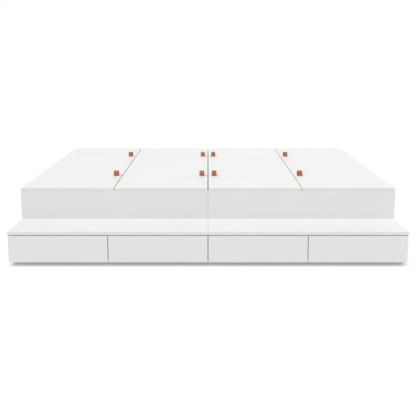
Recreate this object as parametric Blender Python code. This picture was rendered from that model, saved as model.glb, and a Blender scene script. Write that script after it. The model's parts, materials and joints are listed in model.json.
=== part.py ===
"""Platform bed: two mirrored storage modules with four lift-up lids, and a step in front with four drawers.

Metres, +Z up. The origin is on the floor under the middle of the bed. -Y is the front, where the step is.
Each module has an outer bay and an inner bay. Distances from the middle seam are called "out".
"""

import math

import bmesh
import bpy
from mathutils import Vector

# Overall sizes
HALF_WIDTH = 1.400
FRONT = -1.180
BACK = 1.180
STEP_DEPTH = 0.360
PLATFORM_TOP = 0.485
STEP_TOP = 0.250

# Boards
BOARD = 0.019
TREAD = 0.022
GAP = 0.0003  # between pieces that touch
LID_REST = 0.0008  # between a lid and the boards under it, for a strip of buffer tape
HALF_SEAM = 0.0005  # half the joint between the two modules
FLOOR_LOW = 0.031  # underside of the floor boards
STEP_INSET = 0.0025  # the step's sides and fronts stand this far inside the tread's ends
PLINTH_SETBACK = 0.050

# Lids
LID_SEAM_OUT = 0.7025
LID_SEAM = 0.006
MIDDLE_SEAM = 0.0065
KERF_WIDTH = 0.0018
KERF_DEPTH = 0.0257

# Continuous hinges
KNUCKLE_RADIUS = 0.0022
LEAF = 0.0010
LEAF_OFFSET = 0.00015  # from the hinge axis to the near face of a flat-lying leaf
KNUCKLE_GAP = 0.0003
KNUCKLES = 9
HINGE_LENGTH = 1.900
PIN_RADIUS = 0.0010
BORE_RADIUS = 0.00112
KNUCKLE_SIDES = 16
PIN_SIDES = 12
ARC_MARGIN = 0.05  # radians: an arc has no point nearer than this to its ends

# Leather pulls
PULL_WIDTH = 0.040
PULL_DEPTH = 0.039
PULL_HEIGHT = 0.0425
STRAP = 0.003
PULL_TONGUE = 0.022  # length of strap that lies under the lid
PULL_FROM_EDGE = 0.047
PULL_ROWS = (0.490, 1.480)  # behind the platform's front edge
SLOT_CLEARANCE = 0.0004
ARCH_STEPS = 12

# Drawers
DRAWER_SEAM = 0.0055
DRAWER_SEAM_OUT = 0.700
FRONT_TOP_GAP = 0.0055
FRONT_RECESS = 0.002  # the drawer fronts stand this far behind the tread's edge
BOX_SIDE_CLEARANCE = 0.010
BOX_TOP = 0.200
BOX_BACK = -0.845
BOX_WALL = 0.012
BOX_FLOOR = 0.008

# Slides, one under the middle of each drawer
SLIDE_HALF_WIDTH = 0.0225
SLIDE_SHEET = 0.0015
SLIDE_HEIGHT = 0.0060
SLIDE_LIP = 0.0065
SLIDE_PLAY = 0.0006
HAT_HALF_WIDTH = 0.0154
HAT_TOP = 0.0139
FIXED_MEMBER = (-1.150, -0.850)
DRAWER_MEMBER = (-1.145, -0.855)

# Modelling
CUT_PAST = 0.01  # how far a cutter runs past what it cuts
SMOOTH_ANGLE = math.radians(40)
EMPTY_SIZE = 0.05

INNER_LID_FAR = LID_SEAM_OUT - KNUCKLE_RADIUS - KNUCKLE_GAP
LID_LOW = PLATFORM_TOP - BOARD
PANEL_TOP = LID_LOW - LID_REST
OUTER_AXIS_OUT = HALF_WIDTH + KNUCKLE_RADIUS + KNUCKLE_GAP
OUTER_AXIS_HEIGHT = LID_LOW - GAP - LEAF - LEAF_OFFSET
INNER_AXIS_HEIGHT = PLATFORM_TOP - KNUCKLE_RADIUS
PLATFORM_FRONT = FRONT + STEP_DEPTH
INSIDE_FRONT = PLATFORM_FRONT + BOARD + GAP
INSIDE_BACK = BACK - BOARD - GAP
FLOOR_TOP = FLOOR_LOW + BOARD
FRONTS_FACE = FRONT + FRONT_RECESS
CARCASS_FRONT = FRONTS_FACE + BOARD + GAP
STEP_BACK = PLATFORM_FRONT - GAP
TREAD_LOW = STEP_TOP - TREAD
PLINTH_FRONT = FRONTS_FACE + BOARD + PLINTH_SETBACK
HINGE_MIDDLE = (PLATFORM_FRONT + BACK) / 2
SIDES = {"left": -1, "right": 1}


def clear_scene():
    for obj in list(bpy.data.objects):
        bpy.data.objects.remove(obj, do_unlink=True)


def make_material(name, colour, roughness, metallic=0.0):
    material = bpy.data.materials.new(name)
    material.use_nodes = True
    shader = material.node_tree.nodes["Principled BSDF"]
    shader.inputs["Base Color"].default_value = (*colour, 1.0)
    shader.inputs["Roughness"].default_value = roughness
    shader.inputs["Metallic"].default_value = metallic
    return material


def make_object(name, mesh_data, material, parent=None):
    mesh = bpy.data.meshes.new(name)
    bmesh.ops.recalc_face_normals(mesh_data, faces=mesh_data.faces)
    mesh_data.to_mesh(mesh)
    mesh_data.free()
    obj = bpy.data.objects.new(name, mesh)
    bpy.context.scene.collection.objects.link(obj)
    if material:
        mesh.materials.append(material)
    obj.parent = parent
    return obj


def add_box(mesh_data, low, high):
    """A box between two corners, given in any order."""
    corners = [Vector((min(a, b), max(a, b))) for a, b in zip(low, high)]
    made = bmesh.ops.create_cube(mesh_data, size=1.0)["verts"]
    for vertex in made:
        vertex.co = Vector(
            side[0] + (unit + 0.5) * (side[1] - side[0]) for unit, side in zip(vertex.co, corners)
        )


def make_board(name, low, high, material, parent=None):
    """A board between two corners in world coordinates, also when it hangs on a parent."""
    shift = parent.location if parent else Vector((0, 0, 0))
    mesh_data = bmesh.new()
    add_box(mesh_data, Vector(low) - shift, Vector(high) - shift)
    return make_object(name, mesh_data, material, parent)


def make_prism(name, outline, start, end, material, parent=None):
    """A closed outline of 3-D points, swept in a straight line from start to end."""
    mesh_data = bmesh.new()
    ring = [mesh_data.verts.new(Vector(point) + start) for point in outline]
    face = mesh_data.faces.new(ring)
    swept = bmesh.ops.extrude_face_region(mesh_data, geom=[face])["geom"]
    moved = [item for item in swept if isinstance(item, bmesh.types.BMVert)]
    bmesh.ops.translate(mesh_data, verts=moved, vec=end - start)
    return make_object(name, mesh_data, material, parent)


def make_joint_empty(name, place):
    empty = bpy.data.objects.new(name, None)
    empty.empty_display_size = EMPTY_SIZE
    empty.location = place
    bpy.context.scene.collection.objects.link(empty)
    return empty


def make_cutter(name, boxes, parent):
    mesh_data = bmesh.new()
    for low, high in boxes:
        add_box(mesh_data, low, high)
    cutter = make_object(name, mesh_data, None, parent)
    hide_helper(cutter)
    return cutter


def make_rod(name, radius, sides, length, parent):
    """A rod along Y, centred on its parent."""
    turns = [2 * math.pi * (step + 0.5) / sides for step in range(sides)]
    outline = [(radius * math.cos(turn), 0, radius * math.sin(turn)) for turn in turns]
    half = Vector((0, length / 2, 0))
    rod = make_prism(name, outline, -half, half, None, parent)
    hide_helper(rod)
    return rod


def hide_helper(obj):
    obj.hide_render = True
    obj.display_type = "WIRE"


def add_boolean(obj, tool, operation):
    modifier = obj.modifiers.new(tool.name, "BOOLEAN")
    modifier.operation = operation
    modifier.solver = "EXACT"
    modifier.object = tool


def across(sign, near, far, front, back, low, high):
    """Two corners of a box that spans near to far from the middle seam, on the side that sign says."""
    return (sign * near, front, low), (sign * far, back, high)


def make_platform(side, sign, white):
    inner = HALF_SEAM + BOARD
    outer = HALF_WIDTH - BOARD
    side_top = OUTER_AXIS_HEIGHT - LEAF_OFFSET - LEAF - GAP
    boards = {
        "platform_outer_side": (outer, HALF_WIDTH, INSIDE_FRONT, INSIDE_BACK, 0, side_top),
        "platform_inner_side": (HALF_SEAM, inner, INSIDE_FRONT, INSIDE_BACK, 0, PANEL_TOP),
        "platform_front": (HALF_SEAM, HALF_WIDTH, PLATFORM_FRONT, PLATFORM_FRONT + BOARD, 0, PANEL_TOP),
        "platform_back": (HALF_SEAM, HALF_WIDTH, BACK - BOARD, BACK, 0, PANEL_TOP),
        "platform_floor": (inner + GAP, outer - GAP, INSIDE_FRONT, INSIDE_BACK, FLOOR_LOW, FLOOR_TOP),
    }
    for name, spans in boards.items():
        make_board(f"{name}_{side}", *across(sign, *spans), white)
    make_divider(side, sign, white)


def make_divider(side, sign, white):
    """The upright board under the joint of two lids, with a saw kerf that holds the hinge leaf."""
    near = LID_SEAM_OUT - BOARD / 2
    far = LID_SEAM_OUT + BOARD / 2
    bottom = FLOOR_TOP + GAP
    board = across(sign, near, far, INSIDE_FRONT, INSIDE_BACK, bottom, PANEL_TOP)
    divider = make_board(f"platform_divider_{side}", *board, white)
    kerf_low = PANEL_TOP - KERF_DEPTH
    kerf_near = LID_SEAM_OUT - KERF_WIDTH / 2
    kerf_far = LID_SEAM_OUT + KERF_WIDTH / 2
    kerf_front = INSIDE_FRONT - CUT_PAST
    kerf_back = INSIDE_BACK + CUT_PAST
    kerf = across(sign, kerf_near, kerf_far, kerf_front, kerf_back, kerf_low, PLATFORM_TOP)
    add_boolean(divider, make_cutter(f"kerf_{side}", [kerf], None), "DIFFERENCE")


def make_step(side, sign, white):
    inner = HALF_SEAM + BOARD
    outer = HALF_WIDTH - STEP_INSET
    bay_outer = outer - BOARD
    top = TREAD_LOW - GAP
    near = DRAWER_SEAM_OUT - BOARD / 2
    far = DRAWER_SEAM_OUT + BOARD / 2
    plinth_back = PLINTH_FRONT + BOARD
    boards = {
        "step_tread": (HALF_SEAM, HALF_WIDTH, FRONT, STEP_BACK, TREAD_LOW, STEP_TOP),
        "step_divider": (near, far, CARCASS_FRONT, STEP_BACK, FLOOR_TOP + GAP, top),
        "step_bottom": (inner + GAP, bay_outer - GAP, CARCASS_FRONT, STEP_BACK, FLOOR_LOW, FLOOR_TOP),
        "step_plinth": (inner + GAP, bay_outer - GAP, PLINTH_FRONT, plinth_back, 0, FLOOR_LOW - GAP),
    }
    for name, spans in boards.items():
        make_board(f"{name}_{side}", *across(sign, *spans), white)
    make_step_side(f"step_outer_side_{side}", sign * bay_outer, sign * outer, top, white)
    make_step_side(f"step_inner_side_{side}", sign * HALF_SEAM, sign * inner, top, white)


def make_step_side(name, first, last, top, white):
    """An upright board between two x positions, notched at its foot in line with the plinth."""
    outline = [
        (0, CARCASS_FRONT, top),
        (0, CARCASS_FRONT, FLOOR_LOW),
        (0, PLINTH_FRONT, FLOOR_LOW),
        (0, PLINTH_FRONT, 0),
        (0, STEP_BACK, 0),
        (0, STEP_BACK, top),
    ]
    make_prism(name, outline, Vector((first, 0, 0)), Vector((last, 0, 0)), white)


def knuckle_outline(leaf_near, leaf_far, length):
    """A round knuckle with a leaf that leaves it downwards, as (across, along) points.

    The leaf is the strip from leaf_near to leaf_far. It runs to length below the middle of the knuckle.
    """
    first = -math.acos(leaf_far / KNUCKLE_RADIUS)
    last = 2 * math.pi - math.acos(leaf_near / KNUCKLE_RADIUS)
    step = 2 * math.pi / KNUCKLE_SIDES
    inside = [turn * step for turn in range(-KNUCKLE_SIDES, KNUCKLE_SIDES)]
    kept = [turn for turn in inside if first + ARC_MARGIN < turn < last - ARC_MARGIN]
    turns = [first] + kept + [last]
    arc = [(KNUCKLE_RADIUS * math.cos(turn), KNUCKLE_RADIUS * math.sin(turn)) for turn in turns]
    return arc + [(leaf_near, -length), (leaf_far, -length)]


def make_leaf(name, outline, place, own_knuckles, steel, parent):
    """One leaf of a continuous hinge, about its parent, with its knuckles and gaps for the other leaf's.

    place turns an (across, along) point into an (x, z) pair about the hinge axis.
    """
    half = HINGE_LENGTH / 2
    reach = Vector((0, half, 0))
    points = [(place(*point)[0], 0, place(*point)[1]) for point in outline]
    leaf = make_prism(name, points, -reach, reach, steel, parent)
    pitch = HINGE_LENGTH / KNUCKLES
    zone = KNUCKLE_RADIUS + KNUCKLE_GAP
    beyond = 2 * zone
    low = place(-beyond, -zone)
    high = place(beyond, beyond)
    boxes = []
    for knuckle in range(KNUCKLES):
        if knuckle in own_knuckles:
            continue
        before = KNUCKLE_GAP / 2 if knuckle else CUT_PAST
        after = KNUCKLE_GAP / 2 if knuckle < KNUCKLES - 1 else CUT_PAST
        start = -half + knuckle * pitch - before
        end = -half + (knuckle + 1) * pitch + after
        boxes.append(((low[0], start, low[1]), (high[0], end, high[1])))
    add_boolean(leaf, make_cutter(f"gaps_{name}", boxes, parent), "DIFFERENCE")
    return leaf


def make_hinge(where, outlines, place, steel, lid_empty):
    """A continuous hinge: a leaf on the frame, which carries the pin, and a leaf on the lid."""
    frame_empty = make_joint_empty(f"hinge_axis_{where}", lid_empty.location.copy())
    frame_knuckles = range(0, KNUCKLES, 2)
    lid_knuckles = range(1, KNUCKLES, 2)
    frame_name = f"hinge_frame_leaf_{where}"
    lid_name = f"hinge_lid_leaf_{where}"
    frame_leaf = make_leaf(frame_name, outlines[0], place, frame_knuckles, steel, frame_empty)
    lid_leaf = make_leaf(lid_name, outlines[1], place, lid_knuckles, steel, lid_empty)
    pin_length = HINGE_LENGTH * (1 - 1 / KNUCKLES)
    pin = make_rod(f"pin_{where}", PIN_RADIUS, PIN_SIDES, pin_length, frame_empty)
    bore = make_rod(f"bore_{where}", BORE_RADIUS, PIN_SIDES, HINGE_LENGTH, lid_empty)
    add_boolean(frame_leaf, pin, "UNION")
    add_boolean(lid_leaf, bore, "DIFFERENCE")
    for leaf in (frame_leaf, lid_leaf):
        leaf.data.shade_smooth()
        leaf.data.set_sharp_from_angle(angle=SMOOTH_ANGLE)


def make_outer_hinge(side, sign, steel, lid_empty):
    """The leaves lie flat between the lid and the top of the outer side panel."""
    length = KNUCKLE_RADIUS + KNUCKLE_GAP + BOARD - GAP
    frame_outline = knuckle_outline(-LEAF_OFFSET - LEAF, -LEAF_OFFSET, length)
    lid_outline = knuckle_outline(LEAF_OFFSET, LEAF_OFFSET + LEAF, length)

    def place(over, along):
        return sign * along, over

    make_hinge(f"{side}_outer", (frame_outline, lid_outline), place, steel, lid_empty)


def make_inner_hinge(side, sign, steel, lid_empty):
    """The knuckles fill the seam between two lids. One leaf is on a lid's edge, one is in the divider."""
    frame_length = INNER_AXIS_HEIGHT - (PANEL_TOP - KERF_DEPTH) - GAP
    lid_length = BOARD - KNUCKLE_RADIUS - 2 * KNUCKLE_GAP
    frame_outline = knuckle_outline(-LEAF / 2, LEAF / 2, frame_length)
    lid_outline = knuckle_outline(KNUCKLE_RADIUS - LEAF, KNUCKLE_RADIUS, lid_length)

    def place(over, along):
        return -sign * over, along

    make_hinge(f"{side}_inner", (frame_outline, lid_outline), place, steel, lid_empty)


def pull_outline():
    """The strap seen from its side, as (y, z) points about its middle on top of the lid."""
    outer = PULL_DEPTH / 2
    inner = outer - STRAP
    spring = PULL_HEIGHT - outer
    under = -BOARD - GAP
    turns = [math.pi * step / ARCH_STEPS for step in range(ARCH_STEPS + 1)]
    outside = [(outer * math.cos(turn), spring + outer * math.sin(turn)) for turn in turns]
    inside = [(inner * math.cos(turn), spring + inner * math.sin(turn)) for turn in reversed(turns)]
    left_tongue = [(-outer, under), (-outer - PULL_TONGUE, under)]
    left_tongue += [(-outer - PULL_TONGUE, under - STRAP), (-inner, under - STRAP)]
    right_tongue = [(inner, under - STRAP), (outer + PULL_TONGUE, under - STRAP)]
    right_tongue += [(outer + PULL_TONGUE, under), (outer, under)]
    return outside + left_tongue + inside + right_tongue


def make_pulls(where, lid_empty, middle_x, leather):
    """Two strap loops on a lid. Returns the slots that their ends go through, about the parent."""
    slots = []
    half_width = PULL_WIDTH / 2
    outline = [(0, y, z) for y, z in pull_outline()]
    for row, distance in zip(("front", "back"), PULL_ROWS):
        middle = Vector((middle_x, PLATFORM_FRONT + distance, PLATFORM_TOP)) - lid_empty.location
        half = Vector((half_width, 0, 0))
        pull = make_prism(
            f"pull_{where}_{row}", outline, middle - half, middle + half, leather, lid_empty
        )
        pull.data.shade_smooth()
        pull.data.set_sharp_from_angle(angle=SMOOTH_ANGLE)
        for end in (-1, 1):
            leg = end * (PULL_DEPTH - STRAP) / 2
            reach = Vector((half_width + SLOT_CLEARANCE, STRAP / 2 + SLOT_CLEARANCE, 2 * BOARD))
            centre = middle + Vector((0, leg, 0))
            slots.append((centre - reach, centre + reach))
    return slots


def make_lid(side, sign, bay, white, leather, steel):
    """A lid with its pulls and hinge. The free edge is the one nearer the middle seam."""
    where = f"{side}_{bay}"
    if bay == "outer":
        near = INNER_LID_FAR + LID_SEAM
        far = HALF_WIDTH
        axis_out = OUTER_AXIS_OUT
        axis_height = OUTER_AXIS_HEIGHT
    else:
        near = MIDDLE_SEAM / 2
        far = INNER_LID_FAR
        axis_out = LID_SEAM_OUT
        axis_height = INNER_AXIS_HEIGHT
    axis = Vector((sign * axis_out, HINGE_MIDDLE, axis_height))
    empty = make_joint_empty(f"lid_axis_{where}", axis)
    board = across(sign, near, far, PLATFORM_FRONT, BACK, LID_LOW, PLATFORM_TOP)
    lid = make_board(f"lid_{where}", *board, white, empty)
    slots = make_pulls(where, empty, sign * (near + PULL_FROM_EDGE), leather)
    add_boolean(lid, make_cutter(f"slots_{where}", slots, empty), "DIFFERENCE")
    if bay == "outer":
        make_outer_hinge(side, sign, steel, empty)
    else:
        make_inner_hinge(side, sign, steel, empty)


def make_drawer_box(name, low, high, material, parent):
    """A box that is open at the top, made in one piece with its floor."""
    mesh_data = bmesh.new()
    shift = parent.location
    add_box(mesh_data, Vector(low) - shift, Vector(high) - shift)
    top = max(mesh_data.faces, key=lambda face: face.calc_center_median().z)
    bmesh.ops.inset_region(mesh_data, faces=[top], thickness=BOX_WALL)
    swept = bmesh.ops.extrude_face_region(mesh_data, geom=[top])["geom"]
    moved = [item for item in swept if isinstance(item, bmesh.types.BMVert)]
    drop = BOX_FLOOR - (high[2] - low[2])
    bmesh.ops.translate(mesh_data, verts=moved, vec=(0, 0, drop))
    bmesh.ops.delete(mesh_data, geom=[top], context="FACES_ONLY")
    return make_object(name, mesh_data, material, parent)


def fixed_member_outline():
    """A C-shaped channel with its lips turned inwards, as (x, z) points above the step's bottom board."""
    wall = SLIDE_HALF_WIDTH - SLIDE_SHEET
    lip = SLIDE_HALF_WIDTH - SLIDE_LIP
    lip_low = SLIDE_HEIGHT - SLIDE_SHEET
    half = [(SLIDE_HALF_WIDTH, 0), (SLIDE_HALF_WIDTH, SLIDE_HEIGHT), (lip, SLIDE_HEIGHT)]
    half += [(lip, lip_low), (wall, lip_low), (wall, SLIDE_SHEET)]
    return half + [(-x, z) for x, z in reversed(half)]


def drawer_member_outline():
    """A hat section whose brims run under the lips of the channel."""
    brim = SLIDE_HALF_WIDTH - SLIDE_SHEET - SLIDE_PLAY
    brim_low = SLIDE_SHEET + SLIDE_PLAY
    brim_top = SLIDE_HEIGHT - SLIDE_SHEET - SLIDE_PLAY
    crown = HAT_HALF_WIDTH - SLIDE_SHEET
    half = [(crown, HAT_TOP - SLIDE_SHEET), (crown, brim_low), (brim, brim_low), (brim, brim_top)]
    half += [(HAT_HALF_WIDTH, brim_top), (HAT_HALF_WIDTH, HAT_TOP)]
    return [(-x, z) for x, z in reversed(half)] + half


def make_drawer(side, sign, bay, white, grey, steel):
    where = f"{side}_{bay}"
    if bay == "outer":
        front_near = DRAWER_SEAM_OUT + DRAWER_SEAM / 2
        front_far = HALF_WIDTH - STEP_INSET
        bay_near = DRAWER_SEAM_OUT + BOARD / 2
        bay_far = HALF_WIDTH - STEP_INSET - BOARD
    else:
        front_near = DRAWER_SEAM / 2
        front_far = DRAWER_SEAM_OUT - DRAWER_SEAM / 2
        bay_near = HALF_SEAM + BOARD
        bay_far = DRAWER_SEAM_OUT - BOARD / 2
    middle = sign * (bay_near + bay_far) / 2
    rail = FLOOR_TOP + GAP
    empty = make_joint_empty(f"slide_axis_{where}", Vector((middle, FIXED_MEMBER[0], rail)))
    front_top = TREAD_LOW - FRONT_TOP_GAP
    front = across(
        sign, front_near, front_far, FRONTS_FACE, FRONTS_FACE + BOARD, FLOOR_LOW, front_top
    )
    make_board(f"drawer_front_{where}", *front, white, empty)
    box_near = bay_near + BOX_SIDE_CLEARANCE
    box_far = bay_far - BOX_SIDE_CLEARANCE
    box_low = rail + HAT_TOP + GAP
    low = Vector((min(sign * box_near, sign * box_far), CARCASS_FRONT, box_low))
    high = Vector((max(sign * box_near, sign * box_far), BOX_BACK, BOX_TOP))
    make_drawer_box(f"drawer_box_{where}", low, high, grey, empty)
    moving = f"slide_drawer_member_{where}"
    make_slide_member(moving, drawer_member_outline(), DRAWER_MEMBER, empty, steel)
    rail_empty = make_joint_empty(f"rail_{where}", empty.location)
    fixed = f"slide_fixed_member_{where}"
    make_slide_member(fixed, fixed_member_outline(), FIXED_MEMBER, rail_empty, steel)


def make_slide_member(name, outline, reach, parent, steel):
    points = [(x, 0, z) for x, z in outline]
    start = Vector((0, reach[0] - parent.location.y, 0))
    end = Vector((0, reach[1] - parent.location.y, 0))
    make_prism(name, points, start, end, steel, parent)


def main():
    clear_scene()
    white = make_material("white_board", (0.86, 0.86, 0.84), 0.45)
    grey = make_material("drawer_board", (0.78, 0.78, 0.76), 0.55)
    leather = make_material("tan_leather", (0.50, 0.16, 0.085), 0.55)
    dark_steel = make_material("black_nickel_steel", (0.20, 0.195, 0.19), 0.35, 1.0)
    steel = make_material("zinc_steel", (0.64, 0.67, 0.70), 0.35, 1.0)
    for side, sign in SIDES.items():
        make_platform(side, sign, white)
        make_step(side, sign, white)
        for bay in ("outer", "inner"):
            make_lid(side, sign, bay, white, leather, dark_steel)
            make_drawer(side, sign, bay, white, grey, steel)


main()
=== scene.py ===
"""The looks of the platform bed with storage drawers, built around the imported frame."""

import json
import math

import bmesh
import bpy
from mathutils import Matrix, Vector


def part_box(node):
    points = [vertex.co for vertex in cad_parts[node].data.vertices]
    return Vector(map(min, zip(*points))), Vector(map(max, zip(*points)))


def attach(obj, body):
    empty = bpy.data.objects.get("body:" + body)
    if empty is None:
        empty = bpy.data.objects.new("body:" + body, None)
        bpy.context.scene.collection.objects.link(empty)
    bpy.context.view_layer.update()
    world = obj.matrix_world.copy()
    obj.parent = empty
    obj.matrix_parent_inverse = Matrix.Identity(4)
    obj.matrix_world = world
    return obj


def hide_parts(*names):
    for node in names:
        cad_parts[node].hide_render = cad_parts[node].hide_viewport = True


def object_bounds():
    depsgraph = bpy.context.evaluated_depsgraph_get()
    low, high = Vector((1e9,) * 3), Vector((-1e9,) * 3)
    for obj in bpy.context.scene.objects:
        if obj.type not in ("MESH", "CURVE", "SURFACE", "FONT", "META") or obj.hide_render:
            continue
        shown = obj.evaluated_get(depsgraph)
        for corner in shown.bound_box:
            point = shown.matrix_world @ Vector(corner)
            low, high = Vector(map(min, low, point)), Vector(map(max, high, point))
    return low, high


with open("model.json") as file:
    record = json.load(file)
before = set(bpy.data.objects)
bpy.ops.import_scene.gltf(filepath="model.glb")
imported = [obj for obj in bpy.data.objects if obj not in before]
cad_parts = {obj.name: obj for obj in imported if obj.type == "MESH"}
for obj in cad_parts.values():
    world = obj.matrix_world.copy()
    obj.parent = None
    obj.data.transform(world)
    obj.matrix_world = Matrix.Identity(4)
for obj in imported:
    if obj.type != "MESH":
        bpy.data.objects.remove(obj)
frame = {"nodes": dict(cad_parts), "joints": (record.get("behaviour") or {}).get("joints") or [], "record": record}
cad_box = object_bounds()

SIDES = {"left": -1, "right": 1}
BAYS = ("outer", "inner")
ROWS = ("front", "back")

# Camera
CAMERA_TILT = math.radians(8.0)
CAMERA_HEIGHT = 1.486
CAMERA_DISTANCE = 4.300  # from the step's front edge
CAMERA_LENS = 55.07
CAMERA_SENSOR = 36.0
CAMERA_SHIFT = -0.1583

# Light. The sky's strengths are at the horizon and overhead
SKY_COLOUR = (0.985, 0.992, 1.0)
SKY_HORIZON = 0.73
SKY_TOP = 0.42
SKY_FROM_RIGHT = 0.45
SKY_FROM_BACK = 0.44
KEY_TOWARDS = (-0.50, -0.30, 0.81)
KEY_STRENGTH = 2.09
KEY_SPREAD = math.radians(3.0)
KEY_COLOUR = (1.0, 0.995, 0.985)

# Floor
FLOOR_HALF = 40.0
FLOOR_DROP = 0.0005
FLOOR_COLOUR = (0.15, 0.15, 0.15)
CONTACT_SHADE_REACH = 0.065
CONTACT_SHADE_SAMPLES = 8
FLOOR_GLOW_SEEN = ((0.0, 0.0), (0.14, 0.40), (0.88, 0.9))  # (openness, glow)
FLOOR_GLOW_BOUNCED = ((0.0, 0.0), (0.16, 0.43), (0.86, 0.78))

# Painted shade in the narrow gaps between boards, from ambient occlusion
GAP_SHADE_REACH = 0.008
GAP_SHADE_SAMPLES = 6
GAP_SHADE_OPEN = 0.45  # openness from which a face keeps its colour
GAP_SHADE_DARKEST = 0.30

# Colours of each surface, from its darkest to its lightest
LACQUER = ((0.855, 0.857, 0.848), (0.872, 0.873, 0.866))
LINING = ((0.77, 0.765, 0.745), (0.82, 0.817, 0.80))
BANDS = ((0.80, 0.80, 0.785), (0.84, 0.84, 0.825))
LEATHER = ((0.47, 0.104, 0.046), (0.58, 0.150, 0.070), (0.655, 0.195, 0.098))
LEATHER_GRAIN = ((0.72, 0.72, 0.72), (1, 1, 1))
LEATHER_EDGE = ((0.20, 0.052, 0.028), (0.33, 0.095, 0.050))
THREAD = ((0.56, 0.25, 0.14), (0.72, 0.36, 0.22))
FELT = ((0.045, 0.045, 0.048), (0.115, 0.115, 0.12))
CAP_PLASTIC = ((0.76, 0.76, 0.74), (0.81, 0.81, 0.79))
BLACK_NICKEL = (0.20, 0.195, 0.19)
ZINC = (0.64, 0.67, 0.70)
SCREW_STEEL = (0.58, 0.57, 0.55)
STEEL_PATCH = 0.82  # how much darker the duller patches are

# Boards
BOARD_EDGE = 0.0006
BOARD_EDGE_STEPS = 3

# Buffer tape
TAPE_INSET = 0.003
TAPE_NARROW = 0.0005
TAPE_SHARE = 0.75  # of the room between a board and the lid above it
TAPE_LIFT = 0.00002
TAPE_EDGE = 0.0002
KERF_CLEAR = 0.0013  # from the middle of a divider to its tape

# Hinges
LEAF = 0.0010
LEAF_OFFSET = 0.00015
LEAF_EDGE = 0.0002
TANG_EDGE = 0.0001
KNUCKLE = 0.0022
KNUCKLE_SHRINK = 0.00005
KNUCKLE_SOFT = 0.12  # of the knuckle's radius
HINGE_PITCH = 0.030
HINGE_PLAY = 0.0003
HINGE_PIN = 0.00105
PIN_POINT = 0.0003
HINGE_SCREW_PITCH = 0.100
HINGE_SCREW_LINE = 0.62  # of the leaf's reach
HINGE_SCREW = 0.0030
HINGE_SCREW_RISE = 0.00011

# Drawer boxes
BOX_WALL = 0.012
BOX_FLOOR = 0.008
BOX_JOINT = 0.00005
BOX_EDGE = 0.0004
BANDING = 0.001
BANDING_EDGE = 0.0006
FRONT_SCREW = 0.0045
FRONT_SCREW_RISE = 0.0012
FRONT_SCREW_FROM_END = 0.09
FRONT_SCREW_HEIGHTS = (0.035, 0.030)  # above the box's floor, and below its top
SIDE_SCREW = 0.003
SIDE_SCREW_RISE = 0.00025
SIDE_SCREW_HEIGHTS = (0.030, 0.025)

# Slides
SLIDE_SHEET = 0.0015
SLIDE_BEND = 0.00045
SLIDE_SCREWS = 4
SLIDE_SCREW = 0.0038
SLIDE_SCREW_RISE = 0.0011

# Connector caps
CAP_RADIUS = 0.0085
CAP_RISE = 0.0011
CAP_FROM_END = 0.034
CAP_HEIGHTS = (0.3, 0.82)  # as shares of the board's height

# Leather loops
STRAP = 0.003
LOOP_DEPTH = 0.039
LOOP_DROP = 0.0003  # keeps the stitches on the crown under the CAD's top
TONGUE_SHORT = 0.0003
TURN_RADIUS = 0.0016  # where the strap turns from a leg into a tongue
STRAP_ROUND = 0.0009
STRAP_NARROW = 0.0001
STRAP_THIN = 0.00005
CREASE_INSET = 0.0022
CREASE_DEPTH = 0.00028
CREASE_SIDES = (0.0008, 0.0007)  # its slopes, towards the middle and towards the edge
EDGE_FLAT = 0.0010  # from the edge to where the flat face starts
STRAP_SMOOTH = 50.0
THREAD_SMOOTH = 80.0
PLAIN_SMOOTH = 40.0
STITCH_PITCH = 0.0042
STITCH_INSET = 0.0042
STITCH_SLANT = 0.12
STITCH_LENGTH = 0.36  # of the pitch, half the stitch
STITCH_WIDTH = 0.00038
STITCH_RISE = 0.0003
STITCH_ABOVE_LID = 0.002
TONGUE_SCREW = 0.0034
TONGUE_SCREW_RISE = 0.35  # of its radius
TONGUE_SCREW_LIFT = 0.00015
TONGUE_SCREW_FROM_END = 0.009
TONGUE_SCREW_APART = 0.0095  # half the distance


def make_camera():
    low, high = cad_box
    data = bpy.data.cameras.new("camera")
    data.lens = CAMERA_LENS
    data.sensor_width = CAMERA_SENSOR
    data.shift_y = CAMERA_SHIFT
    camera = bpy.data.objects.new("camera", data)
    camera.location = ((low.x + high.x) / 2, low.y - CAMERA_DISTANCE, CAMERA_HEIGHT)
    camera.rotation_euler = (math.pi / 2 - CAMERA_TILT, 0, 0)
    bpy.context.scene.collection.objects.link(camera)
    bpy.context.scene.camera = camera


# ---------------------------------------------------------------- node helpers


def new_material(name, roughness=0.5, metallic=0.0):
    """A material, its tree, and its Principled shader."""
    material = bpy.data.materials.new(name)
    material.use_nodes = True
    tree = material.node_tree
    shader = tree.nodes["Principled BSDF"]
    shader.inputs["Roughness"].default_value = roughness
    shader.inputs["Metallic"].default_value = metallic
    return material, tree, shader


def object_coordinates(tree, stretch=(1, 1, 1)):
    """Object coordinates, which are the frame's own metres, stretched per axis."""
    source = tree.nodes.new("ShaderNodeTexCoord")
    mapping = tree.nodes.new("ShaderNodeMapping")
    mapping.inputs["Scale"].default_value = stretch
    tree.links.new(source.outputs["Object"], mapping.inputs["Vector"])
    return mapping.outputs["Vector"]


def noise(tree, where, scale, detail=2.0, roughness=0.5):
    node = tree.nodes.new("ShaderNodeTexNoise")
    node.inputs["Scale"].default_value = scale
    node.inputs["Detail"].default_value = detail
    node.inputs["Roughness"].default_value = roughness
    tree.links.new(where, node.inputs["Vector"])
    return node.outputs["Fac"]


def voronoi(tree, where, scale, feature="F1"):
    node = tree.nodes.new("ShaderNodeTexVoronoi")
    node.feature = feature
    node.inputs["Scale"].default_value = scale
    tree.links.new(where, node.inputs["Vector"])
    return node.outputs["Distance"]


def ramp(tree, value, stops):
    """A colour ramp from (position, colour) pairs."""
    node = tree.nodes.new("ShaderNodeValToRGB")
    elements = node.color_ramp.elements
    while len(elements) < len(stops):
        elements.new(0.5)
    for element, (position, colour) in zip(elements, stops):
        element.position = position
        element.color = (*colour, 1.0)
    tree.links.new(value, node.inputs["Fac"])
    return node.outputs["Color"]


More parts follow.
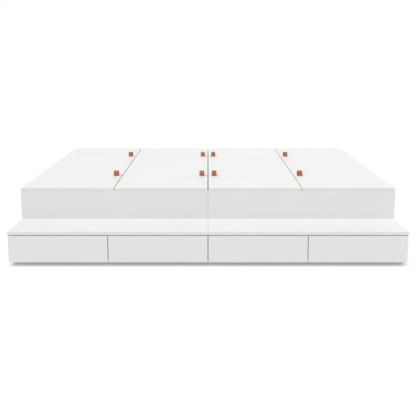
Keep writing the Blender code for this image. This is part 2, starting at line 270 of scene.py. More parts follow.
def to_range(tree, value, low, high, source=(0.0, 1.0)):
    node = tree.nodes.new("ShaderNodeMapRange")
    node.inputs["From Min"].default_value = source[0]
    node.inputs["From Max"].default_value = source[1]
    node.inputs["To Min"].default_value = low
    node.inputs["To Max"].default_value = high
    tree.links.new(value, node.inputs["Value"])
    return node.outputs["Result"]


def spread_colours(tree, value, colours, low=0.3, high=0.7):
    """A ramp between two colours, over the part of a noise's range where most of it lies."""
    return ramp(tree, value, [(low, colours[0]), (high, colours[1])])


def ramp_value(tree, value, stops):
    """The same for plain numbers, from (position, number) pairs."""
    return ramp(tree, value, [(position, (number,) * 3) for position, number in stops])


def calculate(tree, operation, first, second):
    node = tree.nodes.new("ShaderNodeMath")
    node.operation = operation
    for socket, value in zip(node.inputs, (first, second)):
        if isinstance(value, float):
            socket.default_value = value
        else:
            tree.links.new(value, socket)
    return node.outputs["Value"]


def mix_colours(tree, factor, first, second, blend="MIX"):
    node = tree.nodes.new("ShaderNodeMix")
    node.data_type = "RGBA"
    node.blend_type = blend
    colour_inputs = [socket for socket in node.inputs if socket.type == "RGBA"]
    sockets = (node.inputs["Factor"], colour_inputs[0], colour_inputs[1])
    for socket, value in zip(sockets, (factor, first, second)):
        if isinstance(value, bpy.types.NodeSocket):
            tree.links.new(value, socket)
        elif isinstance(value, float):
            socket.default_value = value
        else:
            socket.default_value = (*value, 1.0)
    return [socket for socket in node.outputs if socket.type == "RGBA"][0]


def add_bump(tree, shader, height, distance, strength=1.0):
    node = tree.nodes.new("ShaderNodeBump")
    node.inputs["Strength"].default_value = strength
    node.inputs["Distance"].default_value = distance
    tree.links.new(height, node.inputs["Height"])
    tree.links.new(node.outputs["Normal"], shader.inputs["Normal"])


def paint_gap_shade(tree, colour):
    """Painted shade in the narrow gaps between boards: the colour is darkened where ambient occlusion finds a face
    sheltered. Open faces and plain corners keep their colour.
    """
    shelter = tree.nodes.new("ShaderNodeAmbientOcclusion")
    shelter.samples = GAP_SHADE_SAMPLES
    shelter.inputs["Distance"].default_value = GAP_SHADE_REACH
    open_range = (0.0, GAP_SHADE_OPEN)
    amount = to_range(tree, shelter.outputs["AO"], GAP_SHADE_DARKEST, 1.0, open_range)
    grey = tree.nodes.new("ShaderNodeCombineColor")
    for channel in ("Red", "Green", "Blue"):
        tree.links.new(amount, grey.inputs[channel])
    return mix_colours(tree, 1.0, colour, grey.outputs["Color"], "MULTIPLY")


# ---------------------------------------------------------------- materials


def make_white_board():
    """Satin lacquer: a fine spray texture over a slow waviness, a slight change of gloss, and painted shade in the
    narrow gaps between boards.
    """
    material, tree, shader = new_material("white_lacquer", roughness=0.42)
    where = object_coordinates(tree)
    tint = spread_colours(tree, noise(tree, where, scale=1.7, detail=3.0), LACQUER)
    # painted shade: the lacquer's colour is darkened in the narrow gaps between boards
    tree.links.new(paint_gap_shade(tree, tint), shader.inputs["Base Color"])
    gloss = noise(tree, where, scale=9.0, detail=4.0)
    tree.links.new(to_range(tree, gloss, low=0.38, high=0.50), shader.inputs["Roughness"])
    peel = noise(tree, where, scale=420.0, detail=2.0)
    wave = noise(tree, where, scale=38.0, detail=2.0)
    height = calculate(tree, "ADD", calculate(tree, "MULTIPLY", wave, 1.4), peel)
    add_bump(tree, shader, height, distance=0.00006)
    shader.inputs["Specular IOR Level"].default_value = 0.35
    return material


def make_lining_board():
    """The drawer boxes' melamine: a faint linen weave, a little greyer than the outside."""
    material, tree, shader = new_material("lining_board", roughness=0.55)
    threads = noise(tree, object_coordinates(tree, (1, 1, 0.06)), scale=1500.0, detail=1.0)
    wefts = noise(tree, object_coordinates(tree, (0.06, 0.06, 1)), scale=1500.0, detail=1.0)
    weave = calculate(tree, "ADD", threads, wefts)
    colour = spread_colours(tree, weave, LINING, low=0.35, high=0.65)
    tree.links.new(colour, shader.inputs["Base Color"])
    add_bump(tree, shader, weave, distance=0.00005)
    return material


def make_banding():
    """Plastic edge banding: smoother than the boards, with fine lines from the scraper."""
    material, tree, shader = new_material("edge_banding", roughness=0.36)
    lines = noise(tree, object_coordinates(tree, (0.05, 0.05, 1)), scale=2600.0, detail=2.0)
    tree.links.new(spread_colours(tree, lines, BANDS), shader.inputs["Base Color"])
    add_bump(tree, shader, lines, distance=0.00003)
    return material


def make_leather():
    """Vegetable-tanned leather: pebbled grain, fine pores, and slow changes of tone."""
    material, tree, shader = new_material("tan_leather", roughness=0.5)
    where = object_coordinates(tree)
    tone = noise(tree, where, scale=45.0, detail=5.0, roughness=0.6)
    base = ramp(tree, tone, list(zip((0.25, 0.5, 0.8), LEATHER)))
    cells = voronoi(tree, where, scale=900.0, feature="DISTANCE_TO_EDGE")
    grain = spread_colours(tree, cells, LEATHER_GRAIN, low=0.0, high=0.12)
    colour = mix_colours(tree, 1.0, base, grain, "MULTIPLY")
    tree.links.new(colour, shader.inputs["Base Color"])
    pores = noise(tree, where, scale=2600.0, detail=2.0)
    ridge = to_range(tree, cells, low=0.0, high=1.0, source=(0.0, 0.2))
    height = calculate(tree, "ADD", ridge, calculate(tree, "MULTIPLY", pores, 0.45))
    add_bump(tree, shader, height, distance=0.00018)
    tree.links.new(to_range(tree, tone, low=0.40, high=0.60), shader.inputs["Roughness"])
    shader.inputs["Sheen Weight"].default_value = 0.15
    shader.inputs["Sheen Roughness"].default_value = 0.4
    return material


def make_leather_edge():
    """Burnished edges: darker and smoother, with the layers of the hide along them."""
    material, tree, shader = new_material("leather_edge", roughness=0.35)
    fibres = noise(tree, object_coordinates(tree, (4, 1, 1)), scale=700.0, detail=4.0, roughness=0.65)
    tree.links.new(spread_colours(tree, fibres, LEATHER_EDGE), shader.inputs["Base Color"])
    add_bump(tree, shader, fibres, distance=0.0001)
    return material


def make_thread():
    """Waxed thread with the twist of its strands."""
    material, tree, shader = new_material("waxed_thread", roughness=0.6)
    twist = noise(tree, object_coordinates(tree), scale=2200.0, detail=2.0)
    tree.links.new(spread_colours(tree, twist, THREAD), shader.inputs["Base Color"])
    add_bump(tree, shader, twist, distance=0.0001)
    return material


def make_felt():
    """Needled grey felt: matted fibres that stand up a little and catch the light."""
    material, tree, shader = new_material("grey_felt", roughness=0.95)
    where = object_coordinates(tree)
    fibres = noise(tree, where, scale=1400.0, detail=5.0, roughness=0.7)
    patches = noise(tree, where, scale=110.0, detail=3.0)
    mixed = calculate(tree, "MULTIPLY", fibres, calculate(tree, "ADD", patches, 0.5))
    tree.links.new(spread_colours(tree, mixed, FELT), shader.inputs["Base Color"])
    add_bump(tree, shader, fibres, distance=0.0004)
    shader.inputs["Sheen Weight"].default_value = 0.2
    return material


def make_cap_plastic():
    """Matt white moulded plastic with a fine spark-eroded grain."""
    material, tree, shader = new_material("cap_plastic", roughness=0.5)
    grain = noise(tree, object_coordinates(tree), scale=1900.0, detail=3.0)
    tree.links.new(spread_colours(tree, grain, CAP_PLASTIC), shader.inputs["Base Color"])
    add_bump(tree, shader, grain, distance=0.00006)
    return material


def make_steel(name, colour, roughness, stretch):
    """Rolled and plated sheet, with drawn lines along its length and a few duller patches."""
    material, tree, shader = new_material(name, roughness, metallic=1.0)
    lines = noise(tree, object_coordinates(tree, stretch), scale=2400.0, detail=3.0)
    patches = noise(tree, object_coordinates(tree), scale=60.0, detail=4.0)
    dull = tuple(STEEL_PATCH * channel for channel in colour)
    plated = spread_colours(tree, patches, (dull, colour), low=0.3, high=0.6)
    tree.links.new(plated, shader.inputs["Base Color"])
    mixed = calculate(tree, "MULTIPLY", lines, patches)
    tree.links.new(
        to_range(tree, mixed, roughness - 0.08, roughness + 0.2), shader.inputs["Roughness"]
    )
    add_bump(tree, shader, lines, distance=0.00003)
    return material


# ---------------------------------------------------------------- stage


def make_stage():
    """A pale floor that glows up to white and is darker where the bed stands close to it."""
    mesh_data = bmesh.new()
    bmesh.ops.create_grid(mesh_data, x_segments=4, y_segments=4, size=FLOOR_HALF)
    mesh = bpy.data.meshes.new("floor")
    mesh_data.to_mesh(mesh)
    mesh_data.free()
    floor = bpy.data.objects.new("floor", mesh)
    floor.location = (0, 0, cad_box[0].z - FLOOR_DROP)
    bpy.context.scene.collection.objects.link(floor)
    material, tree, shader = new_material("floor", roughness=0.9)
    shader.inputs["Base Color"].default_value = (*FLOOR_COLOUR, 1)
    shader.inputs["Emission Color"].default_value = (1, 1, 1, 1)
    shader.inputs["Specular IOR Level"].default_value = 0.0
    contact = tree.nodes.new("ShaderNodeAmbientOcclusion")
    contact.samples = CONTACT_SHADE_SAMPLES
    contact.inputs["Distance"].default_value = CONTACT_SHADE_REACH
    seen = ramp_value(tree, contact.outputs["AO"], FLOOR_GLOW_SEEN)
    bounced = ramp_value(tree, contact.outputs["AO"], FLOOR_GLOW_BOUNCED)
    path = tree.nodes.new("ShaderNodeLightPath")
    glow = tree.nodes.new("ShaderNodeMix")
    tree.links.new(path.outputs["Is Camera Ray"], glow.inputs["Factor"])
    tree.links.new(bounced, glow.inputs["A"])
    tree.links.new(seen, glow.inputs["B"])
    tree.links.new(glow.outputs["Result"], shader.inputs["Emission Strength"])
    mesh.materials.append(material)


def make_world():
    """Soft studio light from all round, weaker on the key light's side. The camera sees white."""
    world = bpy.data.worlds.new("studio")
    bpy.context.scene.world = world
    world.use_nodes = True
    tree = world.node_tree
    lighting = tree.nodes["Background"]
    lighting.inputs["Color"].default_value = (*SKY_COLOUR, 1)
    direction = tree.nodes.new("ShaderNodeTexCoord")
    axes = tree.nodes.new("ShaderNodeSeparateXYZ")
    tree.links.new(direction.outputs["Generated"], axes.inputs["Vector"])
    strength = to_range(tree, axes.outputs["Z"], SKY_HORIZON, SKY_TOP)
    right = calculate(tree, "MULTIPLY", axes.outputs["X"], SKY_FROM_RIGHT)
    back = calculate(tree, "MULTIPLY", axes.outputs["Y"], SKY_FROM_BACK)
    balance = calculate(tree, "ADD", calculate(tree, "ADD", right, back), 1.0)
    tree.links.new(calculate(tree, "MULTIPLY", strength, balance), lighting.inputs["Strength"])
    seen = tree.nodes.new("ShaderNodeBackground")
    seen.inputs["Color"].default_value = (1, 1, 1, 1)
    seen.inputs["Strength"].default_value = 1.0
    path = tree.nodes.new("ShaderNodeLightPath")
    switch = tree.nodes.new("ShaderNodeMixShader")
    tree.links.new(path.outputs["Is Camera Ray"], switch.inputs[0])
    tree.links.new(lighting.outputs[0], switch.inputs[1])
    tree.links.new(seen.outputs[0], switch.inputs[2])
    tree.links.new(switch.outputs[0], tree.nodes["World Output"].inputs["Surface"])


def make_key_light():
    """A distant light from the upper left and a little in front."""
    data = bpy.data.lights.new("key", "SUN")
    data.energy = KEY_STRENGTH
    data.angle = KEY_SPREAD
    data.color = KEY_COLOUR
    light = bpy.data.objects.new("key", data)
    light.rotation_euler = Vector(KEY_TOWARDS).to_track_quat("Z", "Y").to_euler()
    bpy.context.scene.collection.objects.link(light)


# ---------------------------------------------------------------- mesh helpers


def sort_faces(mesh_data):
    """Puts the faces in the order of their vertices, as bevels leave them in no fixed order."""
    mesh_data.verts.index_update()
    ordered = sorted(mesh_data.faces, key=lambda face: sorted(v.index for v in face.verts))
    for index, face in enumerate(ordered):
        face.index = index
    mesh_data.faces.sort()


def link_mesh(name, mesh_data, materials, smooth_angle):
    """An object from finished mesh data, smooth but for edges sharper than smooth_angle degrees."""
    bmesh.ops.recalc_face_normals(mesh_data, faces=mesh_data.faces)
    sort_faces(mesh_data)
    mesh = bpy.data.meshes.new(name)
    mesh_data.to_mesh(mesh)
    mesh_data.free()
    for material in materials:
        mesh.materials.append(material)
    mesh.shade_smooth()
    mesh.set_sharp_from_angle(angle=math.radians(smooth_angle))
    piece = bpy.data.objects.new(name, mesh)
    bpy.context.scene.collection.objects.link(piece)
    return piece


def add_board(mesh_data, low, high, radius, material_index=0):
    """A board between two corners with rounded edges."""
    low, high = Vector(low), Vector(high)
    others = set(mesh_data.faces)
    made = bmesh.ops.create_cube(mesh_data, size=1.0)["verts"]
    for vertex in made:
        vertex.co = Vector(a + (unit + 0.5) * (b - a) for unit, a, b in zip(vertex.co, low, high))
    edges = list(dict.fromkeys(edge for vertex in made for edge in vertex.link_edges))
    bmesh.ops.bevel(
        mesh_data, geom=edges, offset=radius, segments=2, profile=0.5, affect="EDGES"
    )
    for face in set(mesh_data.faces) - others:
        face.material_index = material_index


def join_rings(mesh_data, rings, material_index=0):
    """Quads between each ring of vertices and the next."""
    count = len(rings[0])
    for first, second in zip(rings, rings[1:]):
        for step in range(count):
            after = (step + 1) % count
            corners = (first[step], first[after], second[after], second[step])
            mesh_data.faces.new(corners).material_index = material_index


def add_lathe(mesh_data, profile, place, axis, sides=20, material_index=0):
    """A turned shape: profile is (radius, height) pairs along axis, from place."""
    turn = Vector((0, 0, 1)).rotation_difference(Vector(axis)).to_matrix()
    rings = []
    for radius, height in profile:
        ring = []
        for step in range(sides):
            angle = 2 * math.pi * step / sides
            point = Vector((radius * math.cos(angle), radius * math.sin(angle), height))
            ring.append(mesh_data.verts.new(Vector(place) + turn @ point))
        rings.append(ring)
    join_rings(mesh_data, rings, material_index)
    for ring in (rings[0], rings[-1]):
        mesh_data.faces.new(ring).material_index = material_index


def add_screw_head(mesh_data, place, axis, radius, rise, material_index=0):
    """A low screw head with a six-lobed drive recess in its crown."""
    sides = 24
    lobes = 6
    lobe_depth = 0.14
    turn = Vector((0, 0, 1)).rotation_difference(Vector(axis)).to_matrix()
    place = Vector(place)
    # (share of the radius, share of the rise, whether the ring follows the lobes)
    profile = (
        (1.00, 0.0, False),
        (1.00, 0.45, False),
        (0.90, 0.85, False),
        (0.70, 1.0, False),
        (0.44, 1.0, True),
        (0.40, -0.5, True),
    )
    rings = []
    for share, height, lobed in profile:
        ring = []
        for step in range(sides):
            angle = 2 * math.pi * step / sides
            swell = 1 + lobe_depth * math.cos(lobes * angle) if lobed else 1
            reach = radius * share * swell
            point = Vector((reach * math.cos(angle), reach * math.sin(angle), rise * height))
            ring.append(mesh_data.verts.new(place + turn @ point))
        rings.append(ring)
    join_rings(mesh_data, rings, material_index)
    mesh_data.faces.new(list(reversed(rings[0]))).material_index = material_index
    mesh_data.faces.new(rings[-1]).material_index = material_index


# ---------------------------------------------------------------- boards


def dress_boards(white, lining, hinge_steel, slide_steel):
    """Every board keeps its CAD shape and gets rounded edges; every node gets its material."""
    looks = {
        "white_board": white,
        "drawer_box_board": lining,
        "hinge_steel": hinge_steel,
        "slide_steel": slide_steel,
    }
    slots = {entry["node"]: entry["material_slot"] for entry in frame["record"]["subparts"]}
    for name, node in frame["nodes"].items():
        if slots[name] not in looks:
            continue
        node.data.materials.clear()
        node.data.materials.append(looks[slots[name]])
        if slots[name] == "white_board":
            bevel = node.modifiers.new("rounded_edges", "BEVEL")
            bevel.width = BOARD_EDGE
            bevel.segments = BOARD_EDGE_STEPS
            bevel.limit_method = "ANGLE"
            bevel.harden_normals = True
            node.data.shade_smooth()


def add_piece(
    name, mesh_data, materials, body, replaces=None, smooth_angle=PLAIN_SMOOTH
):
    """Makes the piece, sets it on its body, and hides the CAD part it replaces."""
    piece = link_mesh(name, mesh_data, materials, smooth_angle)
    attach(piece, body)
    if replaces:
        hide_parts(replaces)
    return piece


def tape_strips(name, side, low, high):
    """(start, end) in x of each strip of tape on a board's top edge."""
    if name == "inner_side":
        seam = (cad_box[0].x + cad_box[1].x) / 2
        return [(low.x, seam)] if side == "left" else [(seam, high.x)]
    start, stop = low.x + TAPE_NARROW, high.x - TAPE_NARROW
    if name == "divider":
        kerf = (low.x + high.x) / 2
        clear = KERF_CLEAR + TAPE_NARROW
        return [(start, kerf - clear), (kerf + clear, stop)]
    outer_low, outer_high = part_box(f"platform_outer_side_{side}")
    if side == "left":
        return [(outer_high.x + TAPE_NARROW, stop)]
    return [(start, outer_low.x - TAPE_NARROW)]


def make_buffer_tape(felt):
    """Felt tape on the edges that the lids land on. It meets over the seam between the chests."""
    for side in SIDES:
        lid_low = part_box(f"lid_{side}_outer")[0].z
        mesh_data = bmesh.new()
        for name in ("front", "back", "inner_side", "divider"):
            low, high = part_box(f"platform_{name}_{side}")
            inset = TAPE_INSET if name in ROWS else TAPE_NARROW
            top = high.z + TAPE_SHARE * (lid_low - high.z)
            for start, stop in tape_strips(name, side, low, high):
                first = (start, low.y + inset, high.z + TAPE_LIFT)
                add_board(mesh_data, first, (stop, high.y - inset, top), TAPE_EDGE)
        add_piece(f"buffer_tape_{side}", mesh_data, (felt,), "carcass")


# ---------------------------------------------------------------- hinges


def add_tube(mesh_data, middle, axis, length, outer, inner, sides=20):
    """A short tube with softened ends, centred on middle."""
    half = length / 2
    soft = outer * KNUCKLE_SOFT
    section = (
        (outer - soft, -half),
        (outer, -half + soft),
        (outer, half - soft),
        (outer - soft, half),
        (inner, half),
        (inner, -half),
    )
    turn = Vector((0, 0, 1)).rotation_difference(Vector(axis)).to_matrix()
    rings = []
    for radius, height in section:
        angles = (2 * math.pi * step / sides for step in range(sides))
        points = (Vector((radius * math.cos(a), radius * math.sin(a), height)) for a in angles)
        rings.append([mesh_data.verts.new(Vector(middle) + turn @ point) for point in points])
    join_rings(mesh_data, rings + rings[:1])


def hinge_spans(start, length):
    """(start, end, owner) of each knuckle. The frame leaf owns the first and the last."""
    count = 2 * round(length / HINGE_PITCH / 2) + 1
    pitch = length / count
    spans = []
    for index in range(count):
        owner = "frame" if index % 2 == 0 else "lid"
        spans.append((start + index * pitch, start + (index + 1) * pitch, owner))
    return spans


def make_hinge_leaf(where, owner, body, axis, into, across, near, steel):
    """One leaf of a continuous hinge: a plate, its rolled knuckles, and its screws.

    axis is a point on the hinge line. into points from the line to the plate's far edge, and its
    length is the plate's reach. across is the plate's thickness direction, and near is where the
    plate starts along it. The inner frame leaves are hidden in their kerfs and get no screws.
    """
    node = f"hinge_{owner}_leaf_{where}"
    low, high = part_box(node)
    start, length = low.y, high.y - low.y
    reach = into.length
    ahead = into.normalized()
    mesh_data = bmesh.new()

    def place(along, over, y):
        spot = axis + ahead * along + across * over
        return Vector((spot.x, y, spot.z))

    def add_plate(first, last, from_y, to_y, radius):
        corners = (place(first, near, from_y), place(last, near + LEAF, to_y))
        lowest = [min(a, b) for a, b in zip(*corners)]
        highest = [max(a, b) for a, b in zip(*corners)]
        add_board(mesh_data, lowest, highest, radius)

    add_plate(KNUCKLE + HINGE_PLAY, reach, start, start + length, LEAF_EDGE)
    for from_y, to_y, who in hinge_spans(start, length):
        if who != owner:
            continue
        middle = place(0.0, 0.0, (from_y + to_y) / 2)
        wide = to_y - from_y - HINGE_PLAY
        add_tube(mesh_data, middle, (0, 1, 0), wide, KNUCKLE - KNUCKLE_SHRINK, HINGE_PIN)
        tang = (from_y + HINGE_PLAY / 2, to_y - HINGE_PLAY / 2)
        add_plate(KNUCKLE * 0.6, KNUCKLE + 2 * HINGE_PLAY, *tang, TANG_EDGE)
    count = round(length / HINGE_SCREW_PITCH)
    facing = -across if near > 0 or owner == "lid" else across
    face = near if facing == -across else near + LEAF
    if owner == "lid" or where.endswith("outer"):
        for index in range(count):
            y = start + (index + 0.5) * length / count
            spot = place(reach * HINGE_SCREW_LINE, face, y)
            add_screw_head(mesh_data, spot, facing, HINGE_SCREW, HINGE_SCREW_RISE, 1)
    if owner == "frame":
        shaft, tip = HINGE_PIN * 0.95, HINGE_PIN * 0.5
        profile = [(tip, 0.0), (shaft, PIN_POINT), (shaft, length - PIN_POINT), (tip, length)]
        add_lathe(mesh_data, profile, place(0.0, 0.0, start), (0, 1, 0), 12, 1)
    add_piece(f"{node}_detail", mesh_data, steel, body, node)


def make_hinges(steel):
    """The outer leaves lie flat over each other. The inner ones hang down from the seam."""
    joints = {joint["name"]: joint for joint in frame["joints"]}
    for side, sign in SIDES.items():
        for bay in BAYS:
            where = f"{side}_{bay}"
            axis = Vector(joints[f"{where}_lid_hinge"]["pos_m"])
            low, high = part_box(f"hinge_frame_leaf_{where}")
            lid_low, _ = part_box(f"hinge_lid_leaf_{where}")
            lid_body = f"{where}_lid_group"
            if bay == "outer":
                edge = low.x if sign > 0 else high.x
                frame_into = lid_into = Vector((edge - axis.x, 0, 0))
                across = Vector((0, 0, 1))
                frame_near, lid_near = -LEAF_OFFSET - LEAF, LEAF_OFFSET
            else:
                frame_into = Vector((0, 0, low.z - axis.z))
                lid_into = Vector((0, 0, lid_low.z - axis.z))
                across = Vector((-sign, 0, 0))
                frame_near, lid_near = -LEAF / 2, KNUCKLE - LEAF
            make_hinge_leaf(
                where, "frame", "carcass", axis, frame_into, across, frame_near, steel
            )
            make_hinge_leaf(where, "lid", lid_body, axis, lid_into, across, lid_near, steel)


# ---------------------------------------------------------------- drawers


def make_drawer_box(where, lining, banding, screw_steel):
    """Two sides with a front, a back and a bottom between them. The walls' tops are banded."""
    node = f"drawer_box_{where}"
    low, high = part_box(node)
    within = BOX_WALL + BOX_JOINT
    mesh_data = bmesh.new()
    walls = (
        (low, (low.x + BOX_WALL, high.y, high.z)),
        ((high.x - BOX_WALL, low.y, low.z), high),
        ((low.x + within, low.y, low.z), (high.x - within, low.y + BOX_WALL, high.z)),
        ((low.x + within, high.y - BOX_WALL, low.z), (high.x - within, high.y, high.z)),
    )
    band_low = high.z - BANDING
    for first, last in walls:
        add_board(mesh_data, first, (last[0], last[1], band_low), BOX_EDGE)
        add_board(mesh_data, (first[0], first[1], band_low), last, BANDING_EDGE, 1)
    bottom_low = (low.x + within, low.y + within, low.z)
    bottom_high = (high.x - within, high.y - within, low.z + BOX_FLOOR)
    add_board(mesh_data, bottom_low, bottom_high, BOX_EDGE)
    middle = (low.x + high.x) / 2
    half = (high.x - low.x) / 2 - FRONT_SCREW_FROM_END
    above, below = FRONT_SCREW_HEIGHTS
    for x in (middle - half, middle, middle + half):
        for z in (low.z + above, high.z - below):
            spot = (x, low.y + BOX_WALL, z)
            add_screw_head(mesh_data, spot, (0, 1, 0), FRONT_SCREW, FRONT_SCREW_RISE, 2)
    above, below = SIDE_SCREW_HEIGHTS
    for y in (low.y + BOX_WALL / 2, high.y - BOX_WALL / 2):
        for z in (low.z + above, high.z - below):
            for x, axis in ((low.x, -1), (high.x, 1)):
                spot = (x - axis * SIDE_SCREW_RISE, y, z)
                add_screw_head(mesh_data, spot, (axis, 0, 0), SIDE_SCREW, SIDE_SCREW_RISE, 2)
    body = f"{where}_drawer_group"
    materials = (lining, banding, screw_steel)
    add_piece(f"{node}_boards", mesh_data, materials, body, node)


def make_slide_details(where, steel):
    """Rounded bends on both members, and the screws that hold the channel to the step."""
    for member in ("fixed", "drawer"):
        node = frame["nodes"][f"slide_{member}_member_{where}"]
        bevel = node.modifiers.new("bends", "BEVEL")
        bevel.width = SLIDE_BEND
        bevel.segments = 2
        bevel.limit_method = "ANGLE"
    low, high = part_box(f"slide_fixed_member_{where}")
    middle = (low.x + high.x) / 2
    mesh_data = bmesh.new()
    for index in range(SLIDE_SCREWS):
        y = low.y + (index + 0.5) * (high.y - low.y) / SLIDE_SCREWS
        spot = (middle, y, low.z + SLIDE_SHEET)
        add_screw_head(mesh_data, spot, (0, 0, 1), SLIDE_SCREW, SLIDE_SCREW_RISE)
    add_piece(f"slide_screws_{where}", mesh_data, (steel,), "carcass")


def make_drawers(lining, banding, slide_steel):
    for side in SIDES:
        for bay in BAYS:
            where = f"{side}_{bay}"
            make_drawer_box(where, lining, banding, slide_steel)
            make_slide_details(where, slide_steel)


# ---------------------------------------------------------------- connector caps


def add_cap(mesh_data, place, axis):
    """A round cover over a connector: a low dome with a rim, and a dimple in its middle."""
    radius = CAP_RADIUS
    profile = (
        (radius, 0.0),
        (radius, CAP_RISE * 0.45),
        (radius * 0.93, CAP_RISE * 0.8),
        (radius * 0.75, CAP_RISE),
        (radius * 0.35, CAP_RISE),
        (radius * 0.28, CAP_RISE * 0.7),
        (radius * 0.1, CAP_RISE * 0.66),
    )
    add_lathe(mesh_data, profile, place, axis, 32)


def make_caps(plastic):
    """Caps on the inner faces of the chests' long boards, near the front and back panels."""
    for side, sign in SIDES.items():
        mesh_data = bmesh.new()
        for name, faces in (("outer_side", (-1,)), ("inner_side", (1,)), ("divider", (-1, 1))):
            low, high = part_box(f"platform_{name}_{side}")
            for face in faces:
                x = high.x if face * sign > 0 else low.x
                for y in (low.y + CAP_FROM_END, high.y - CAP_FROM_END):
                    for share in CAP_HEIGHTS:
                        z = low.z + share * (high.z - low.z)
                        add_cap(mesh_data, (x, y, z), (face * sign, 0, 0))
        add_piece(f"connector_caps_{side}", mesh_data, (plastic,), "carcass")


# ---------------------------------------------------------------- leather loops


def strap_line(node):
    """The strap's centre line in the (y, z) plane, from the end of one tongue to the other."""
    low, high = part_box(node)
    middle = (low.y + high.y) / 2
    depth = LOOP_DEPTH / 2 - STRAP / 2
    spring = high.z - LOOP_DEPTH / 2 - LOOP_DROP
    under = low.z + STRAP / 2
    reach = high.y - middle
    tongue_steps, turn_steps, leg_steps, arch_steps = 6, 4, 8, 12
    tongue = reach - depth - TURN_RADIUS
    leg = spring - under - TURN_RADIUS
    points = []
    for step in range(tongue_steps + 1):
        points.append((reach - TONGUE_SHORT - step * tongue / tongue_steps, under))
    for step in range(1, turn_steps + 1):
        angle = math.pi / 2 * step / turn_steps
        inward = TURN_RADIUS * (1 - math.sin(angle))
        upward = TURN_RADIUS * (1 - math.cos(angle))
        points.append((depth + inward, under + upward))
    for step in range(1, leg_steps + 1):
        points.append((depth, under + TURN_RADIUS + step * leg / leg_steps))
    for step in range(1, arch_steps + 1):
        angle = math.pi / 2 * step / arch_steps
        points.append((depth * math.cos(angle), spring + depth * math.sin(angle)))
    other = [(-y, z) for y, z in reversed(points[:-1])]
    return [(middle + y, z) for y, z in points + other]


def line_frames(points):
    """(point, normal) along a (y, z) line."""
    found = []
    for index, (y, z) in enumerate(points):
        before = points[max(index - 1, 0)]
        after = points[min(index + 1, len(points) - 1)]
        along = Vector((after[0] - before[0], after[1] - before[1])).normalized()
        found.append((Vector((y, z)), Vector((along.y, -along.x))))
    return found


def strap_section(half_width, half_thickness):
    """(across, out, is_edge) round the strap: rounded edges, and a crease inside each of them."""
    crease = half_width - CREASE_INSET
    before, after = CREASE_SIDES
    half = [(across, half_thickness, False) for across in (0.0, crease * 0.5, crease - before)]
    half.append((crease, half_thickness - CREASE_DEPTH, False))
    half.append((crease + after, half_thickness, False))
    half.append((half_width - EDGE_FLAT, half_thickness, False))
    round_steps = 4
    for step in range(round_steps + 1):
        angle = math.pi / 2 * (1 - step / round_steps)
        across = half_width - STRAP_ROUND + STRAP_ROUND * math.cos(angle)
        out = half_thickness - STRAP_ROUND + STRAP_ROUND * math.sin(angle)
        half.append((across, out, True))
    lower = [(across, -out, edge) for across, out, edge in reversed(half)]
    right = half + lower
    left = [(-across, out, edge) for across, out, edge in reversed(right) if across > 0]
    return right + left


def make_strap(node, body, leather, edge):
    """The strap itself, with burnished edges and ends."""
    low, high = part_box(node)
    middle = (low.x + high.x) / 2
    section = strap_section((high.x - low.x) / 2 - STRAP_NARROW, STRAP / 2 - STRAP_THIN)
    mesh_data = bmesh.new()
    rings = []
    for point, normal in line_frames(strap_line(node)):
        ring = []
        for across, out, _ in section:
            place = point + normal * out
            ring.append(mesh_data.verts.new((middle + across, place.x, place.y)))
        rings.append(ring)
    count = len(section)
    for first, second in zip(rings, rings[1:]):
        for step in range(count):
            after = (step + 1) % count
            face = mesh_data.faces.new((first[step], first[after], second[after], second[step]))
            face.material_index = 1 if section[step][2] and section[after][2] else 0
    for ring in (rings[0], rings[-1]):
        mesh_data.faces.new(ring).material_index = 1
    name = f"leather_loop_{node.removeprefix('pull_')}"
    add_piece(name, mesh_data, (leather, edge), body, node, STRAP_SMOOTH)


def make_stitches(node, body, thread):
    """Waxed thread along both edges of the strap, on its outer and inner face."""
    low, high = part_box(node)
    lid_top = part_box("lid_" + node.removeprefix("pull_").rsplit("_", 1)[0])[1].z
    lowest = lid_top + STITCH_ABOVE_LID
    middle = (low.x + high.x) / 2
    across_line = (high.x - low.x) / 2 - STITCH_INSET
    frames = [pair for pair in line_frames(strap_line(node)) if pair[0].y > lowest]
    lengths = [0.0]
    for (first, _), (second, _) in zip(frames, frames[1:]):
        lengths.append(lengths[-1] + (second - first).length)
    mesh_data = bmesh.new()
    count = int(lengths[-1] / STITCH_PITCH)
    for stitch in range(count):
        target = (stitch + 0.5) * lengths[-1] / count
        index = max(i for i, length in enumerate(lengths[:-1]) if length <= target)
        share = (target - lengths[index]) / (lengths[index + 1] - lengths[index])
        point = frames[index][0].lerp(frames[index + 1][0], share)
        normal = frames[index][1].lerp(frames[index + 1][1], share).normalized()
        along = Vector((-normal.y, normal.x))
        for side in (-1, 1):
            for face in (-1, 1):
                place = point + normal * face * (STRAP / 2 - STRAP_THIN)
                add_stitch(mesh_data, middle + side * across_line, place, along, normal)
    name = f"stitching_{node.removeprefix('pull_')}"
    add_piece(name, mesh_data, (thread,), body, smooth_angle=THREAD_SMOOTH)


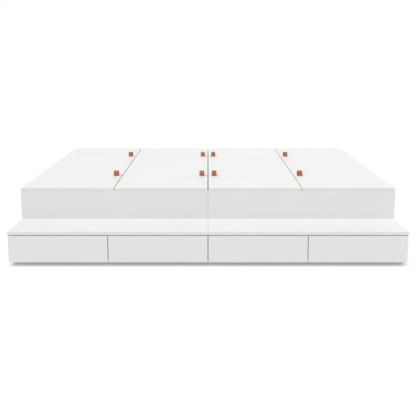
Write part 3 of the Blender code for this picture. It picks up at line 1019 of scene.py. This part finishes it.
def add_stitch(mesh_data, x, place, along, normal):
    """One short stitch: an ellipsoid lying on the leather, slightly slanted."""
    length = STITCH_PITCH * STITCH_LENGTH
    basis = Matrix(
        (
            (STITCH_SLANT * length, STITCH_WIDTH, 0.0),
            (along.x * length, 0.0, normal.x * STITCH_RISE),
            (along.y * length, 0.0, normal.y * STITCH_RISE),
        )
    )
    made = bmesh.ops.create_uvsphere(mesh_data, u_segments=6, v_segments=5, radius=1.0)["verts"]
    for vertex in made:
        turned = basis @ Vector((vertex.co.z, vertex.co.x, vertex.co.y))
        vertex.co = Vector((x, place.x, place.y)) + turned


def make_tongue_screws(node, body, steel):
    """Two pan-head screws through each tongue, under the lid."""
    low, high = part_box(node)
    middle = (low.x + high.x) / 2
    rise = TONGUE_SCREW * TONGUE_SCREW_RISE
    mesh_data = bmesh.new()
    for end in (low.y + TONGUE_SCREW_FROM_END, high.y - TONGUE_SCREW_FROM_END):
        for across in (-TONGUE_SCREW_APART, TONGUE_SCREW_APART):
            spot = (middle + across, end, low.z + TONGUE_SCREW_LIFT)
            add_screw_head(mesh_data, spot, (0, 0, -1), TONGUE_SCREW, rise)
    name = f"pull_screws_{node.removeprefix('pull_')}"
    add_piece(name, mesh_data, (steel,), body)


def make_pulls(leather, edge, thread, steel):
    for side in SIDES:
        for bay in BAYS:
            for row in ROWS:
                node = f"pull_{side}_{bay}_{row}"
                body = f"{side}_{bay}_lid_group"
                make_strap(node, body, leather, edge)
                make_stitches(node, body, thread)
                make_tongue_screws(node, body, steel)


# ---------------------------------------------------------------- everything


def main():
    make_camera()
    bpy.context.scene.view_settings.view_transform = "Standard"
    make_world()
    make_key_light()
    make_stage()
    white = make_white_board()
    lining = make_lining_board()
    leather = make_leather()
    edge = make_leather_edge()
    thread = make_thread()
    drawn_along = (1, 0.02, 1)
    hinge_steel = make_steel("black_nickel_steel", BLACK_NICKEL, roughness=0.32, stretch=drawn_along)
    slide_steel = make_steel("zinc_steel", ZINC, roughness=0.34, stretch=drawn_along)
    screw_steel = make_steel("screw_steel", SCREW_STEEL, roughness=0.30, stretch=(1, 1, 1))
    banding = make_banding()
    dress_boards(white, lining, hinge_steel, slide_steel)
    make_buffer_tape(make_felt())
    make_hinges((hinge_steel, screw_steel))
    make_drawers(lining, banding, slide_steel)
    make_caps(make_cap_plastic())
    make_pulls(leather, edge, thread, screw_steel)


main()
